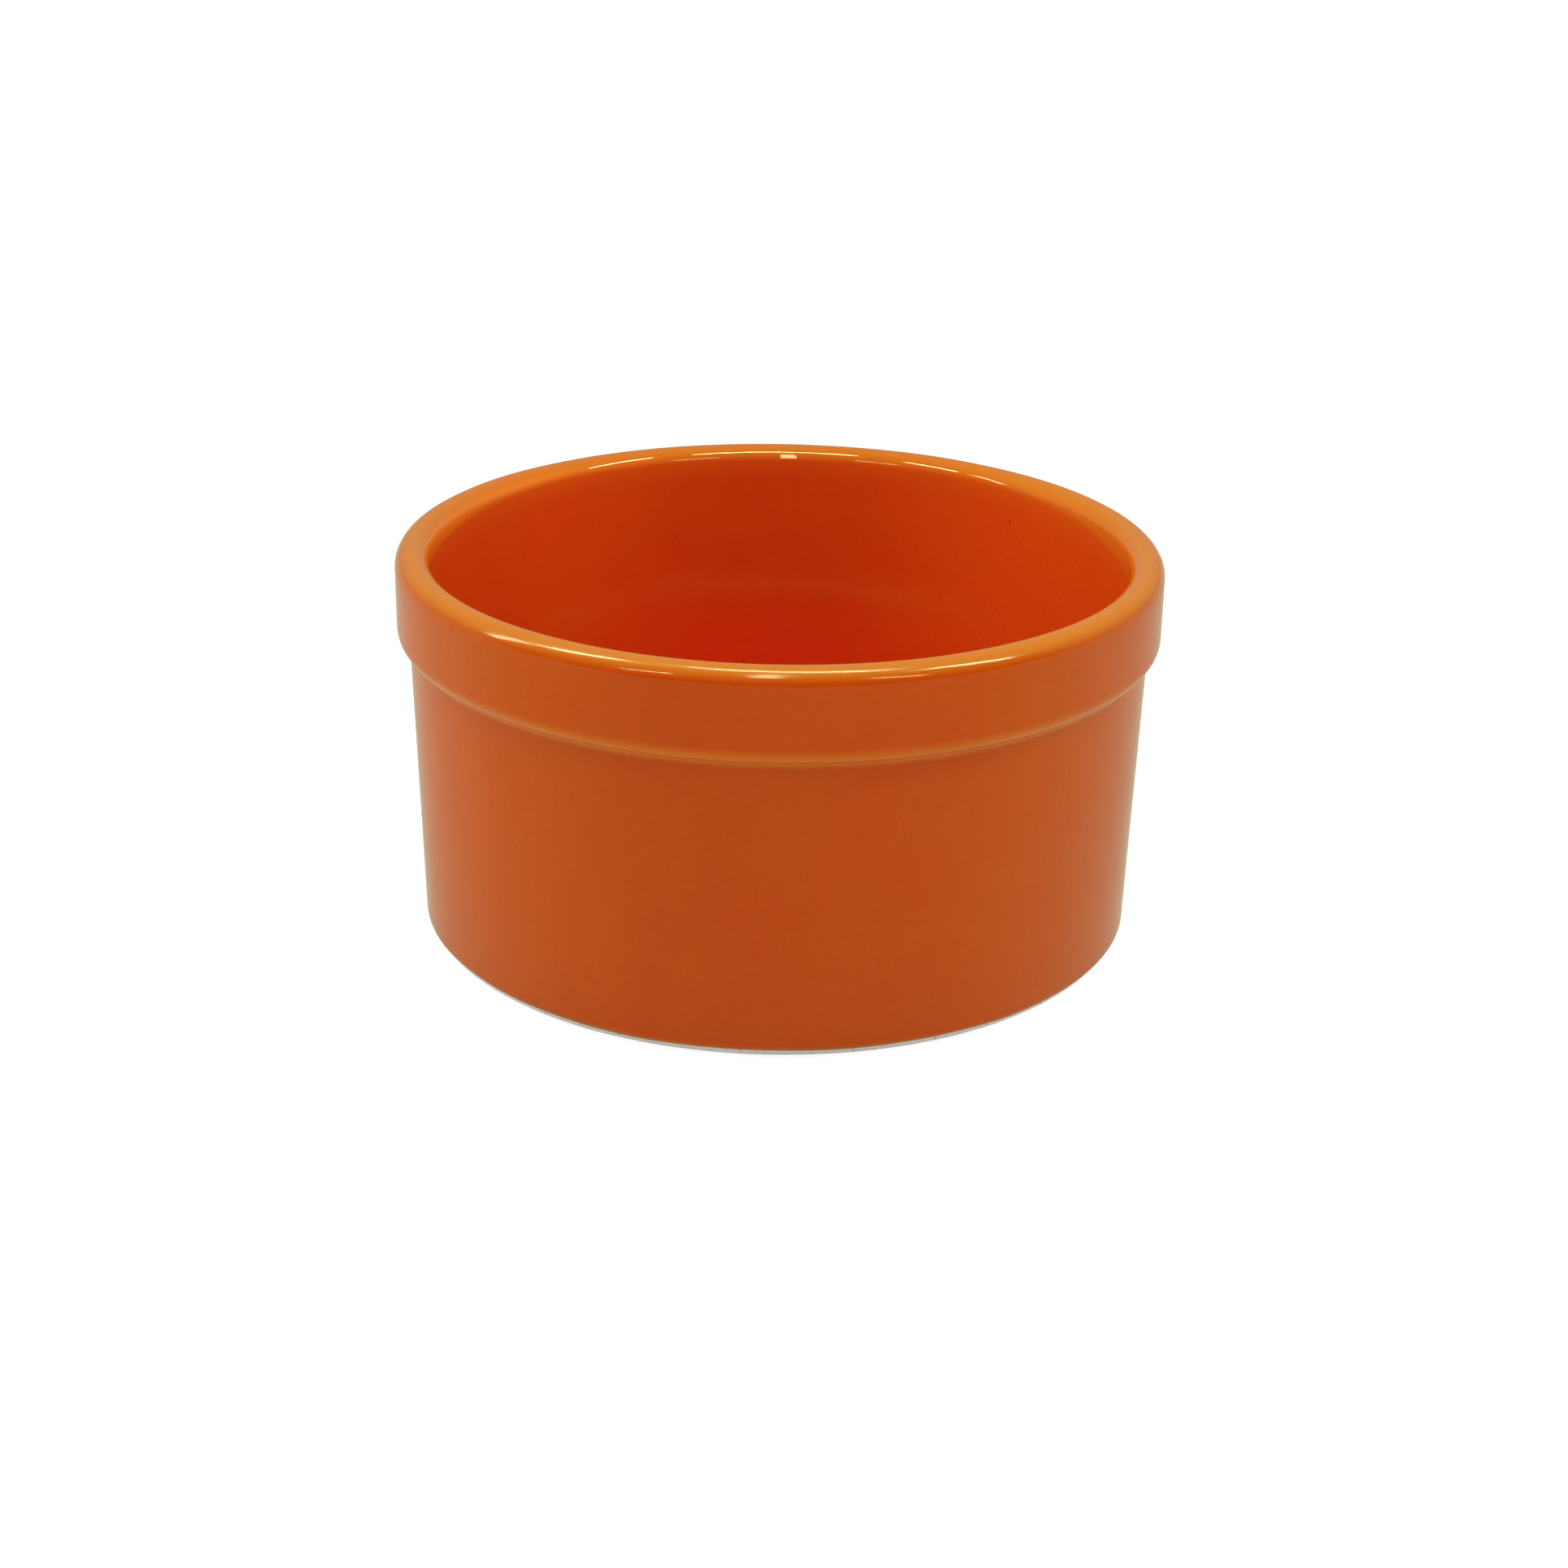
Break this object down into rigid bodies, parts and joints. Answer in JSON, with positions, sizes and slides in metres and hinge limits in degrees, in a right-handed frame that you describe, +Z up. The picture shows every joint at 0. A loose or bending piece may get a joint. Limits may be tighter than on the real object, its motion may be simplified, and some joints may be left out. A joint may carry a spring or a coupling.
{
  "type": "ramekin",
  "caption": "Round straight-sided stoneware ramekin with a stepped band under its lip, a foot ring and a thick glossy orange glaze.",
  "frame": {"origin": "centre of the foot ring's contact plane", "axes": "+Z up along the pot's axis, out of the bowl; the pot is round, so X and Y are free"},
  "size_m": [0.1, 0.1, 0.051],
  "materials": {
    "stoneware": "matte",
    "orange_glaze": "polished"
  },
  "bodies": {
    "root": {"stoneware_body": "stoneware", "glaze_coat": "orange_glaze", "underside_glaze": "orange_glaze"}
  },
  "joints": []
}
